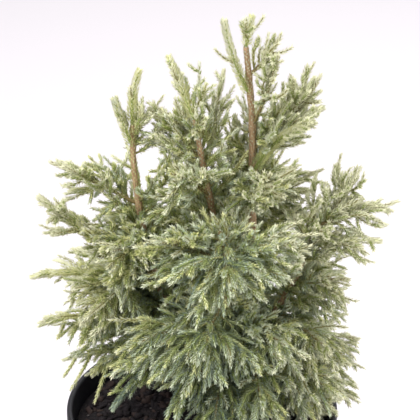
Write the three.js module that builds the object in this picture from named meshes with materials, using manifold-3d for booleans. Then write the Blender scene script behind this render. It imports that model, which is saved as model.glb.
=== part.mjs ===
// A young dwarf sawara cypress with soft juvenile foliage, in a round black nursery pot.
// Millimetres, +Z up. The origin is the centre of the pot's flat underside, and -Y is the front.
import * as THREE from "three";
import { mergeVertices } from "three/addons/utils/BufferGeometryUtils.js";
import Module from "manifold-3d";

const wasm = await Module();
wasm.setup();

// Pot and potting mix
const POT_HEIGHT = 210;
const RIM_RADIUS = 110;
const RIM_WIDTH = 5;
const RIM_DEPTH = 14;
const FOOT_RADIUS = 84;
const WALL = 1.8;
const FLOOR = 2.4;
const FOOT_CHAMFER = 2;
const FOOT_BAND = 9; // height of the straight band that the drain holes are cut through
const BAND_STEP = 3; // how far the wall stands out past the band, over the next few millimetres
const LIP_STEP = 6; // height of the step under the rim
const DRAIN_HOLES = 6;
const DRAIN_WIDTH = 20;
const DRAIN_HEIGHT = 13;
const DRAIN_DEPTH = 12;
const SOIL_BELOW_RIM = 15;
const SOIL_DISH = 4; // how far the mix drops from the stem to the pot's wall
const ROUND_SIDES = 28;
const GAP = 0.3; // between two solids that touch
const WALL_TOP = RIM_RADIUS - RIM_WIDTH;
const LIP = POT_HEIGHT - RIM_DEPTH;
const BAND_TOP = FOOT_BAND + BAND_STEP * 2;

// Stems
const GROUND = POT_HEIGHT - SOIL_BELOW_RIM;
const FLARE = 0.5; // extra share of the trunk's radius at the ground
const FLARE_HEIGHT = 0.07; // share of the trunk's length
const TRUNK_FOOT = [0, 12, 0]; // bearing, reach and height
const BOUGH_FOOT = 2.6;
const BOUGH_SHARE = 0.8; // a bough is no thicker than this share of the stem that it leaves
const BOUGH_TIP = 1.7;
const LIMB_SIDES = 6;
const LIMB_STEP = 32;
const SLEEVE = 0.38; // how much a limb is fattened to cut its neighbours clear of it

// Foliage
const STEM_RADIUS = 1.5;
const STEM_SHOOTS = 0.5; // how far the stem's own shoots reach, as a share of the mass's spread
const TWIG_SPACING = 17;
const FIRST_TWIG = 0.1; // share of the stem that is clear of twigs
const LAST_TWIG = 0.74;
const TURN = 137.5; // degrees from one twig to the next round its stem
const OPENING = 62; // degrees between a twig and its stem, at its root
const CLOSING = 24; // degrees that it bends back towards the stem's own way
const SHORTEST_TWIG = 14;
const TWIG_ROOT = 1.2; // a twig's radius at its root and at its last shoots
const TWIG_TIP = 0.6;
const TWIG_SIDES = 3;
const SHOOT_SPACING = 16.5; // along a twig, from one ring of side shoots to the next
const SHOOT_SWEEP = 1.6; // how far ahead of its foot a shoot's tip lies, in spacings
const SHOOT_REACH = 0.42; // of the twig's length, out from its middle
const SHOOT_FALL = 0.4; // the share of its reach that a shoot loses by the twig's tip
const SHOOT_SPREAD = 0.4; // share that a shoot's reach, and its place in spacings, vary by
const SHOOT_TURN = 30; // degrees that it strays round its twig
const SHOOT_CLEAR = 0.3;
const LONGEST = 1.2; // a twig's length at the stem's foot, as a share of its mass's spread
const LONG_FALL = 0.75; // how much of the spread it loses by the stem's tip
const ROUND_SPREAD = 40; // degrees that a twig strays from its turn
const LONG_SPREAD = 0.3; // share that its length varies by
const PLACE_SPREAD = 0.6; // of the space between two twigs, how far a twig strays along its stem
const SHRINK = [1, 0.82, 0.64, 0.46, 0.32]; // lengths tried, as shares, until a twig fits
const SHOOT_SHRINK = [1, 0.75, 0.5, 0.3];
const TESTED = [0.4, 0.6, 0.8, 1]; // shares of a twig that have to lie in its mass's own space
const TWIG_SEED = 7919;
const SHOOT_SEED = 104729;
const STEM_TURN = 15; // degrees, the way that a mass's stem faces
const STEEP = 0.2; // the sine of the angle to the upright under which a line counts as upright
const SINK = 1.2; // how far a twig's root runs inside its stem
const CELL_GAP = 1.1; // kept free on each side of the border between two masses
const LIMB_GAP = 0.8;
const POT_CLEAR = 5; // between foliage and the pot's wall, inside and out
const HANG = 30; // how far foliage may hang below the rim
const OVERHANG = 12; // how far a shoot may go past the reach of its mass's tip and over the top of its stem

const UP = new THREE.Vector3(0, 0, 1);

// The leading stems. Each row: name, parent, share of the parent where it leaves it, then its tip by its
// bearing in degrees (0 is right, -90 the front), its reach from the pot's axis and its height over the mix,
// then its bow and its radius at its foot and at its tip. A positive bow swings a stem out before it rises,
// and a negative one lifts it before it arches over.
const LEADERS = [
  ["trunk", null, 0, 19, 35, 320, 0.1, 5.6, 1.9],
  ["left_leader", "trunk", 0.07, 180, 51.5, 262, 0.16, 4.2, 1.7],
  ["centre_leader", "trunk", 0.26, -120, 10, 270, 0.02, 3.9, 1.7],
  ["right_leader", "trunk", 0.12, -3, 88, 180, 0.1, 3.8, 1.8],
  ["front_leader", "trunk", 0.13, -76, 58, 200, 0.12, 3.4, 1.7],
  ["rear_leader", "trunk", 0.14, 98, 60, 165, 0.1, 3.6, 1.7],
];

// The masses of foliage, by the same columns as far as the bow, then the length of the mass's longest twigs
// and, where a bough carries it, the share of the way to the tip that is bare bough.
const MASSES = [
  ["leader_top", "trunk", 1, 22, 40, 342, 0, 22],
  ["leader_left", "trunk", 0.88, 7, 17, 343, -0.08, 22],
  ["leader_right", "trunk", 0.93, 8, 59, 330, 0.12, 44],
  ["leader_feather", "trunk", 0.8, -8, 57, 320, 0.04, 40],
  ["crest_right", "trunk", 0.74, 0, 88, 301, 0.12, 56],
  ["crest_right_low", "trunk", 0.71, -8, 90, 281, -0.08, 28],
  ["crest_right_fold", "trunk", 0.68, -26, 90, 281, -0.14, 13],
  ["crest_left", "centre_leader", 0.86, 50, 26, 297, 0.1, 38],
  ["centre_top", "centre_leader", 1, 161, 25, 313, 0, 28],
  ["centre_left", "centre_leader", 0.78, 172, 39, 277, -0.16, 58],
  ["centre_rear", "trunk", 0.55, 49, 40, 256, -0.06, 52],
  ["centre_front", "centre_leader", 0.66, -112, 56, 246, -0.04, 60],
  ["trunk_front", "trunk", 0.62, -46, 74, 236, -0.04, 64],
  ["left_top", "left_leader", 1, 180, 46, 305, 0.1, 20],
  ["left_top_out", "left_leader", 0.93, -176, 65, 284, 0.0, 16],
  ["left_fan", "left_leader", 0.74, 180, 114, 231, -0.02, 44],
  ["left_fan_mid", "left_leader", 0.44, -174, 123, 208, 0.03, 34, 0.4],
  ["left_point", "left_leader", 0.37, -177, 132, 136, -0.26, 30],
  ["left_low", "left_leader", 0.26, -169, 128, 105, -0.2, 46, 0.3],
  ["left_skirt", "left_leader", 0.14, -175, 110, 62, -0.18, 52],
  ["left_hang", "left_leader", 0.2, -138, 92, 50, -0.24, 26],
  ["left_hollow", "left_leader", 0.5, -149, 106, 122, -0.14, 56],
  ["left_front", "left_leader", 0.56, -134, 92, 190, -0.08, 70],
  ["front_low_left", "front_leader", 0.2, -100, 112, 80, -0.2, 42],
  ["front_low", "front_leader", 0.11, -86, 124, 70, -0.2, 66],
  ["front_low_right", "right_leader", 0.17, -67, 118, 76, -0.18, 60],
  ["front_mid_left", "front_leader", 0.42, -114, 108, 132, -0.14, 70],
  ["front_mid", "front_leader", 0.6, -91, 122, 128, -0.2, 70],
  ["front_mid_right", "front_leader", 0.35, -60, 122, 134, -0.14, 70],
  ["front_fan", "front_leader", 1, -80, 122, 184, -0.12, 66],
  ["front_fan_left", "front_leader", 0.84, -108, 100, 212, -0.08, 62],
  ["front_fan_right", "front_leader", 0.84, -52, 112, 208, -0.08, 66],
  ["right_skirt", "trunk", 0.1, -6, 126, 25, -0.28, 60],
  ["right_front_low", "right_leader", 0.25, -34, 126, 62, -0.16, 60],
  ["right_front_mid", "right_leader", 0.44, -36, 120, 106, -0.12, 58],
  ["right_low", "right_leader", 0.3, -8, 124, 86, -0.1, 50, 0.35],
  ["right_mid", "right_leader", 0.6, -12, 115, 143, -0.14, 62],
  ["right_drop", "right_leader", 0.86, -9, 137, 175, -0.12, 32],
  ["right_big", "right_leader", 1, 0, 150, 198, 0.04, 38],
  ["right_upper", "right_leader", 0.9, 9, 124, 217, 0.04, 54],
  ["rear_top", "rear_leader", 1, 96, 84, 205, 0.02, 66],
  ["rear_right_high", "rear_leader", 0.8, 31, 111, 198, -0.06, 74],
  ["rear_left_high", "rear_leader", 0.75, 140, 92, 168, -0.06, 70],
  ["rear_left", "left_leader", 0.3, 154, 116, 130, -0.12, 66],
  ["rear_mid", "rear_leader", 0.5, 92, 122, 124, -0.16, 73],
  ["rear_right", "right_leader", 0.5, 34, 124, 116, -0.12, 70],
  ["rear_low_left", "trunk", 0.12, 122, 118, 58, -0.18, 66],
  ["rear_low_right", "rear_leader", 0.14, 62, 118, 60, -0.18, 72],
  ["rear_right_low", "right_leader", 0.21, 28, 120, 52, -0.18, 62],
];

// Seeded numbers from 0 to 1, the same on every run
function dice(seed) {
  let state = seed >>> 0;
  return () => {
    state = (state + 0x6d2b79f5) >>> 0;
    let t = Math.imul(state ^ (state >>> 15), state | 1);
    t = (t + Math.imul(t ^ (t >>> 7), t | 61)) ^ t;
    return ((t ^ (t >>> 14)) >>> 0) / 4294967296;
  };
}

const radians = THREE.MathUtils.degToRad;

function pointAt(bearing, reach, height) {
  const angle = radians(bearing);
  return new THREE.Vector3(reach * Math.cos(angle), reach * Math.sin(angle), GROUND + height);
}

// A stem's line from a point to a tip, bowed in the upright plane that holds both
function bowedLine(from, tip, bow) {
  const chord = tip.clone().sub(from);
  const level = new THREE.Vector3(tip.x, tip.y, 0).normalize();
  const side = new THREE.Vector3().crossVectors(UP, level);
  const swing = new THREE.Vector3().crossVectors(side, chord).normalize();
  const middle = from.clone().add(tip).multiplyScalar(0.5);
  middle.addScaledVector(swing, bow * chord.length());
  return new THREE.QuadraticBezierCurve3(from, middle, tip);
}

// The stretch of a bowed line between two shares of it
function stretch(line, start, end) {
  const at = (t) => line.getPoint(t);
  const lead = line.getTangent(start).multiplyScalar(at(start).distanceTo(at(end)) / 2);
  return new THREE.QuadraticBezierCurve3(at(start), at(start).add(lead), at(end));
}

// Two directions square to a line, the first as near upright as it can be
function facingOf(along) {
  const across = new THREE.Vector3().crossVectors(along, UP);
  if (across.length() < STEEP) across.crossVectors(along, new THREE.Vector3(0, 1, 0));
  across.normalize();
  return { across, facing: new THREE.Vector3().crossVectors(across, along).normalize() };
}

// The direction square to a line that is turned by so many degrees from the one facing up
function turnedFrom(along, degrees) {
  const { across, facing } = facingOf(along);
  const angle = radians(degrees);
  return facing.multiplyScalar(Math.cos(angle)).addScaledVector(across, Math.sin(angle));
}

// A geometry as a solid
function solidOf(geometry) {
  const bare = geometry.index ? geometry.toNonIndexed() : geometry;
  bare.deleteAttribute("normal");
  bare.deleteAttribute("uv");
  const merged = mergeVertices(bare, 1e-3);
  const corners = merged.index.array;
  const kept = [];
  for (let i = 0; i < corners.length; i += 3) {
    const [a, b, c] = corners.subarray(i, i + 3);
    if (a !== b && b !== c && c !== a) kept.push(a, b, c);
  }
  const vertProperties = merged.attributes.position.array;
  return new wasm.Manifold(new wasm.Mesh({ numProp: 3, vertProperties, triVerts: new Uint32Array(kept) }));
}

// A solid as a geometry
function geometryOf(solid) {
  const { vertProperties, triVerts } = solid.getMesh();
  return new THREE.BufferGeometry()
    .setAttribute("position", new THREE.BufferAttribute(vertProperties, 3))
    .setIndex(new THREE.BufferAttribute(triVerts, 1))
    .toNonIndexed();
}

// A tapering round bar bent along a line: radius(t) is its radius at a share of the line, and past is how
// far its end stands past the line's
function bar(line, radius, sides, steps, past = 0) {
  const geometry = new THREE.CylinderGeometry(1, 1, 1, sides, steps);
  const place = geometry.attributes.position;
  for (let i = 0; i < place.count; i++) {
    const t = place.getY(i) + 0.5;
    const along = line.getTangent(t);
    const { across, facing } = facingOf(along);
    const point = line.getPoint(t).addScaledVector(along, t === 1 ? past : 0);
    point.addScaledVector(across, place.getX(i) * radius(t));
    point.addScaledVector(facing, place.getZ(i) * radius(t));
    place.setXYZ(i, point.x, point.y, point.z);
  }
  return solidOf(geometry);
}

function largestPiece(solid) {
  const pieces = solid.decompose();
  return pieces.reduce((most, piece) => (piece.volume() > most.volume() ? piece : most));
}

// A limb: its line, its radius along it, and its two solids, the true one and one fattened by the gap
function makeLimb(name, line, foot, tip, flare = 0) {
  const radius = (t) => THREE.MathUtils.lerp(foot, tip, t) * (1 + flare * Math.exp(-t / FLARE_HEIGHT));
  const steps = Math.max(2, Math.round(line.getLength() / LIMB_STEP));
  const grown = SLEEVE / Math.cos(Math.PI / LIMB_SIDES);
  const solid = bar(line, radius, LIMB_SIDES, steps);
  const sleeve = bar(line, (t) => radius(t) + grown, LIMB_SIDES, steps, GAP);
  return { name, line, radius, solid, sleeve };
}

// Where a child leaves its parent. One that carries on from the parent's tip starts a gap past it.
function leavePoint(limb, at) {
  const point = limb.line.getPoint(at);
  if (at === 1) point.addScaledVector(limb.line.getTangent(1), GAP);
  return point;
}

// The flat cut under the trunk: nothing of it goes below the potting mix
function cutAtGround(solid) {
  const slab = new THREE.BoxGeometry(2 * RIM_RADIUS, 2 * RIM_RADIUS, GROUND).translate(0, 0, GROUND / 2);
  return solid.subtract(solidOf(slab));
}

// The leading stems and bare boughs
const limbs = new Map();
for (const [name, parentName, at, bearing, reach, height, bow, foot, tip] of LEADERS) {
  const parent = limbs.get(parentName);
  const from = parent ? leavePoint(parent, at) : pointAt(...TRUNK_FOOT);
  const line = bowedLine(from, pointAt(bearing, reach, height), bow);
  const limb = makeLimb(name, line, foot, tip, parent ? 0 : FLARE);
  limb.solid = parent ? limb.solid.subtract(parent.sleeve) : cutAtGround(limb.solid);
  limbs.set(name, limb);
}

const masses = MASSES.map(([name, parentName, at, bearing, reach, height, bow, spread, bare], index) => {
  const parent = limbs.get(parentName);
  const whole = bowedLine(leavePoint(parent, at), pointAt(bearing, reach, height), bow);
  const mass = { name, parent, reach, spread, seed: index + 1, line: whole };
  if (bare) {
    const foot = Math.min(BOUGH_FOOT, parent.radius(at) * BOUGH_SHARE);
    mass.bough = makeLimb(name + "_bough", stretch(whole, 0, bare), foot, BOUGH_TIP);
    mass.bough.solid = mass.bough.solid.subtract(parent.sleeve);
    limbs.set(mass.bough.name, mass.bough);
    mass.line = stretch(whole, bare, 1);
    mass.line.v0.addScaledVector(mass.line.getTangent(0), GAP);
  }
  return mass;
});

function alongLine(line, count) {
  return Array.from({ length: count + 1 }, (_, i) => line.getPoint(i / count));
}
for (const mass of masses) {
  mass.axis = alongLine(mass.line, 10);
  mass.top = Math.max(...mass.axis.map((point) => point.z));
}
for (const limb of limbs.values()) limb.axis = alongLine(limb.line, 20);

function distanceTo(axis, point) {
  const closest = new THREE.Vector3();
  const piece = new THREE.Line3();
  let least = Infinity;
  for (let i = 1; i < axis.length; i++) {
    piece.set(axis[i - 1], axis[i]).closestPointToPoint(point, true, closest);
    least = Math.min(least, closest.distanceTo(point));
  }
  return least;
}

// Whether a point clears the pot, the mix, every limb, and the borders of the mass's own space
function isFree(mass, point, margin) {
  const out = Math.hypot(point.x, point.y);
  if (out > mass.reach + OVERHANG || point.z > mass.top + OVERHANG) return false;
  if (point.z < POT_HEIGHT - HANG) return false;
  const overPot = out < RIM_RADIUS + POT_CLEAR;
  const overMix = out < RIM_RADIUS - RIM_WIDTH - POT_CLEAR;
  if (overPot && point.z < (overMix ? GROUND : POT_HEIGHT) + 2 * margin) return false;
  for (const limb of limbs.values()) {
    if (distanceTo(limb.axis, point) < limb.radius(0.5) + LIMB_GAP + margin) return false;
  }
  const own = distanceTo(mass.axis, point);
  return masses.every((other) => other === mass || distanceTo(other.axis, point) > own + CELL_GAP + margin);
}

// The twigs of a mass, by the seeded rule: each one's line and length, and the number that rolls it
function twigsOf(mass) {
  const roll = dice(mass.seed * TWIG_SEED);
  const length = mass.line.getLength();
  const count = Math.max(2, Math.round((length * (LAST_TWIG - FIRST_TWIG)) / TWIG_SPACING));
  const twigs = [];
  for (let i = 0; i < count; i++) {
    const share = FIRST_TWIG + (LAST_TWIG - FIRST_TWIG) * ((i + PLACE_SPREAD * roll()) / count);
    const along = mass.line.getTangent(share);
    const around = turnedFrom(along, i * TURN + ROUND_SPREAD * roll());
    const long = mass.spread * (LONGEST - LONG_FALL * share) * (1 + LONG_SPREAD * (roll() - 0.5));
    twigs.push({ root: mass.line.getPoint(share), along, around, long, turn: 360 * roll() });
  }
  return twigs;
}

function leaning(along, around, degrees) {
  const angle = radians(degrees);
  return along.clone().multiplyScalar(Math.cos(angle)).addScaledVector(around, Math.sin(angle));
}

// A twig's line: it leaves its stem steeply and bends towards the stem's own way
function twigLine({ root, along, around }, long) {
  const start = root.clone().addScaledVector(leaning(along, around, OPENING), -SINK);
  const middle = root.clone().addScaledVector(leaning(along, around, OPENING), long / 2);
  const tip = root.clone().addScaledVector(leaning(along, around, OPENING - CLOSING), long);
  return new THREE.QuadraticBezierCurve3(start, middle, tip);
}

// A plume: a slim three-sided twig or stem that ends in a point, with a side shoot standing out of each
// length of each side. reachOf(point, out, most) is how far out a shoot may go from a point of the twig.
function plume(line, foot, shoots, turn, roll, reachOf) {
  const long = line.getLength();
  const rings = Math.max(2, Math.round(long / SHOOT_SPACING) - 1);
  const last = rings + SHOOT_SWEEP;
  const corners = [];
  const faces = [];
  const outAt = (i, degrees) => turnedFrom(line.getTangent(i / last), degrees);
  for (let i = 0; i <= rings; i++) {
    const radius = THREE.MathUtils.lerp(foot, TWIG_TIP, i / rings);
    for (let side = 0; side < TWIG_SIDES; side++) {
      const out = outAt(i, turn + (360 * side) / TWIG_SIDES);
      corners.push(line.getPoint(i / last).addScaledVector(out, radius));
    }
  }
  for (let i = 0; i < rings; i++) {
    for (let side = 0; side < TWIG_SIDES; side++) {
      const next = (side + 1) % TWIG_SIDES;
      const [a, b, c, d] = [
        i * TWIG_SIDES + side,
        i * TWIG_SIDES + next,
        (i + 1) * TWIG_SIDES + next,
        (i + 1) * TWIG_SIDES + side,
      ];
      const out = outAt(i, turn + (360 * (side + 0.5)) / TWIG_SIDES + SHOOT_TURN * (roll() - 0.5));
      const most = shoots * (1 - SHOOT_FALL * (i / rings)) * (1 + SHOOT_SPREAD * (roll() - 0.5));
      const ahead = line.getPoint(Math.min(1, (i + SHOOT_SWEEP + SHOOT_SPREAD * (roll() - 0.5)) / last));
      const reach = reachOf(ahead, out, most);
      if (reach) {
        const tip = corners.push(ahead.addScaledVector(out, reach)) - 1;
        faces.push(a, b, tip, b, c, tip, c, d, tip, d, a, tip);
      } else {
        faces.push(a, b, c, a, c, d);
      }
    }
  }
  const end = corners.push(line.getPoint(1)) - 1;
  const ring = rings * TWIG_SIDES;
  for (let side = 0; side < TWIG_SIDES; side++) {
    faces.push(ring + side, ring + ((side + 1) % TWIG_SIDES), end);
  }
  for (let side = 2; side < TWIG_SIDES; side++) faces.push(0, side, side - 1);
  return solidOf(new THREE.BufferGeometry().setFromPoints(corners).setIndex(faces));
}

// One mass: its stem and the twigs on it, each a plume cut to the mass's own space
function makeMass(mass) {
  const roll = dice(mass.seed * SHOOT_SEED);
  const reachOf = (point, out, most) => {
    for (const share of SHOOT_SHRINK) {
      if (isFree(mass, point.clone().addScaledVector(out, most * share), SHOOT_CLEAR)) return most * share;
    }
    return 0;
  };
  const fits = (line) => TESTED.every((t) => isFree(mass, line.getPoint(t), TWIG_TIP));
  let solid = plume(mass.line, STEM_RADIUS, mass.spread * STEM_SHOOTS, STEM_TURN, roll, reachOf);
  for (const twig of twigsOf(mass)) {
    for (const share of SHRINK) {
      const long = twig.long * share;
      const line = twigLine(twig, long);
      if (long < SHORTEST_TWIG || !fits(line)) continue;
      solid = solid.add(plume(line, TWIG_ROOT, long * SHOOT_REACH, twig.turn, roll, reachOf));
      break;
    }
  }
  solid = solid.subtract(mass.parent.sleeve);
  if (mass.bough) solid = solid.subtract(mass.bough.sleeve);
  return largestPiece(solid);
}

// The pot's inner wall, from the floor's edge up to the step under the rim
const INNER_WALL = [
  [FOOT_RADIUS - WALL, FLOOR],
  [FOOT_RADIUS - WALL, FOOT_BAND],
  [FOOT_RADIUS + BAND_STEP - WALL, BAND_TOP],
  [WALL_TOP - WALL, LIP - LIP_STEP],
];

function turned(profile) {
  const points = profile.map(([radius, height]) => new THREE.Vector2(radius, height));
  return solidOf(new THREE.LatheGeometry(points, ROUND_SIDES).rotateX(Math.PI / 2));
}

// The pot: a thin tapering wall with a rolled rim and a foot band with drain holes
function makePot() {
  const bead = RIM_WIDTH / 2;
  const rim = Array.from({ length: 5 }, (_, i) => {
    const angle = (Math.PI * i) / 4;
    return [RIM_RADIUS - bead + bead * Math.cos(angle), POT_HEIGHT - bead + bead * Math.sin(angle)];
  });
  let solid = turned([
    [0, 0],
    [FOOT_RADIUS - FOOT_CHAMFER, 0],
    [FOOT_RADIUS, FOOT_CHAMFER],
    [FOOT_RADIUS, FOOT_BAND],
    [FOOT_RADIUS + BAND_STEP, BAND_TOP],
    [WALL_TOP, LIP],
    [RIM_RADIUS, LIP],
    ...rim,
    ...INNER_WALL.toReversed(),
    [0, FLOOR],
  ]);
  for (let i = 0; i < DRAIN_HOLES; i++) {
    const hole = new THREE.BoxGeometry(DRAIN_DEPTH, DRAIN_WIDTH, DRAIN_HEIGHT);
    hole.translate(FOOT_RADIUS, 0, FLOOR + FOOT_CHAMFER + DRAIN_HEIGHT / 2);
    hole.rotateZ((2 * Math.PI * (i + 0.5)) / DRAIN_HOLES);
    solid = solid.subtract(solidOf(hole));
  }
  return solid;
}

// The potting mix, level round the stem and dished towards the wall, a gap clear of the pot all round
function makeSoil() {
  const clear = GAP * 1.3;
  const [floorEdge, bandTop, wallFoot, wallHead] = INNER_WALL;
  const edge = GROUND - SOIL_DISH;
  const share = (edge - wallFoot[1]) / (wallHead[1] - wallFoot[1]);
  return turned([
    [0, FLOOR + GAP],
    [floorEdge[0] - clear, FLOOR + GAP],
    [bandTop[0] - clear, bandTop[1]],
    [wallFoot[0] - clear, wallFoot[1]],
    [THREE.MathUtils.lerp(wallFoot[0], wallHead[0], share) - clear, edge],
    [RIM_RADIUS * 0.72, GROUND - SOIL_DISH * 0.4],
    [RIM_RADIUS * 0.3, GROUND],
    [0, GROUND],
  ]);
}

const FINISH = {
  pot: new THREE.MeshStandardMaterial({ color: 0x1b1b1e, roughness: 0.5, metalness: 0 }),
  soil: new THREE.MeshStandardMaterial({ color: 0x2a2320, roughness: 1, metalness: 0 }),
  bark: new THREE.MeshStandardMaterial({ color: 0x8a5a3c, roughness: 0.85, metalness: 0 }),
  foliage: new THREE.MeshStandardMaterial({ color: 0x93a070, roughness: 0.7, metalness: 0 }),
};

const plant = new THREE.Group();
plant.name = "potted_cypress";

function addNode(name, solid, finish) {
  const mesh = new THREE.Mesh(geometryOf(solid), FINISH[finish]);
  mesh.name = name;
  plant.add(mesh);
}

addNode("pot", makePot(), "pot");
addNode("potting_mix", makeSoil(), "soil");
for (const limb of limbs.values()) addNode(limb.name, largestPiece(limb.solid), "bark");
for (const mass of masses) addNode(mass.name, makeMass(mass), "foliage");

export default plant;
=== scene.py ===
# A young dwarf sawara cypress with soft juvenile foliage, in a round black nursery pot.
# The pot, the potting mix, the bark and the foliage are finished here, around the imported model.
import math

import bmesh
import bpy
import numpy as np
from mathutils import Matrix, Vector, noise


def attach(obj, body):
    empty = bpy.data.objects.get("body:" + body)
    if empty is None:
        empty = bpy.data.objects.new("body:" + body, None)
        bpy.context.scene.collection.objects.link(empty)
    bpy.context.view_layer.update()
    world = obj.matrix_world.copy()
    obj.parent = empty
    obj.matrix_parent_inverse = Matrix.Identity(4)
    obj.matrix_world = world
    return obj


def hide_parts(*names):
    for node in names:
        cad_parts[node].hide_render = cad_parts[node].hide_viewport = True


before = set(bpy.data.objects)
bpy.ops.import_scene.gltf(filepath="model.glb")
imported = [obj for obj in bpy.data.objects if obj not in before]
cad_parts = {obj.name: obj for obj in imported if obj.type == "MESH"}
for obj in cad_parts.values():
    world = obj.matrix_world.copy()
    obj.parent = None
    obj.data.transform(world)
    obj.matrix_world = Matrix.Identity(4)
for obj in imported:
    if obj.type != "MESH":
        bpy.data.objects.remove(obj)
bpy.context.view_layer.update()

MM = 0.001  # sizes and places below are in millimetres until a mesh is made

# Pot and potting mix
POT_HEIGHT = 210
RIM_RADIUS = 110
RIM_WIDTH = 5
RIM_DEPTH = 14
FOOT_RADIUS = 84
WALL = 1.8
FLOOR = 2.4
FOOT_CHAMFER = 2
FOOT_BAND = 9
BAND_STEP = 3
LIP_STEP = 6
DRAIN_HOLES = 6
DRAIN_WIDTH = 20
DRAIN_HEIGHT = 13
DRAIN_DEPTH = 14
DRAIN_ROUND = 4
RIB_HEIGHTS = (62, 150)
RIB_PROUD = 0.7
RIB_WIDTH = 3
SOIL_BELOW_RIM = 15
SOIL_DISH = 4
GROUND = POT_HEIGHT - SOIL_BELOW_RIM
WALL_TOP = RIM_RADIUS - RIM_WIDTH
LIP = POT_HEIGHT - RIM_DEPTH
BAND_TOP = FOOT_BAND + BAND_STEP * 2
ROUND_STEPS = 120

# Stems
TRUNK_FOOT = (0, 12, 0)
FLARE = 0.5
FLARE_HEIGHT = 0.07
BOUGH_FOOT = 2.6
BOUGH_SHARE = 0.8
BOUGH_TIP = 1.7
GAP = 0.3

# The rule that foliage grows by
STEM_RADIUS = 1.5
TWIG_SPACING = 17
FIRST_TWIG = 0.1
LAST_TWIG = 0.74
TWIG_STRAY = 0.6  # of the room between two twigs, how far one stands from its place
TWIG_SALT = 7919
TURN = 137.5
OPENING = 62
CLOSING = 24
SHORTEST_TWIG = 14
TWIG_ROOT = 1.2
TWIG_TIP = 0.6
ROUND_SPREAD = 40
LONGEST = 1.2  # of a mass's spread, a twig's length at the stem's foot
LONG_FALL = 0.75  # how much of the spread it loses towards the tip
LONG_SPREAD = 0.3
SHRINK = (1, 0.82, 0.64, 0.46, 0.32)
SHOOT_SHRINK = (1, 0.75, 0.5, 0.3)
SINK = 1.2
CELL_GAP = 1.1
LIMB_GAP = 0.8
POT_CLEAR = 5
HANG = 30
OVERHANG = 12

# Name, parent, share of the parent, bearing, reach, height, bow, and the radius at the foot and at the tip
LEADERS = [
    ("trunk", None, 0, 19, 35, 320, 0.1, 5.6, 1.9),
    ("left_leader", "trunk", 0.07, 180, 51.5, 262, 0.16, 4.2, 1.7),
    ("centre_leader", "trunk", 0.26, -120, 10, 270, 0.02, 3.9, 1.7),
    ("right_leader", "trunk", 0.12, -3, 88, 180, 0.1, 3.8, 1.8),
    ("front_leader", "trunk", 0.13, -76, 58, 200, 0.12, 3.4, 1.7),
    ("rear_leader", "trunk", 0.14, 98, 60, 165, 0.1, 3.6, 1.7),
]

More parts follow.
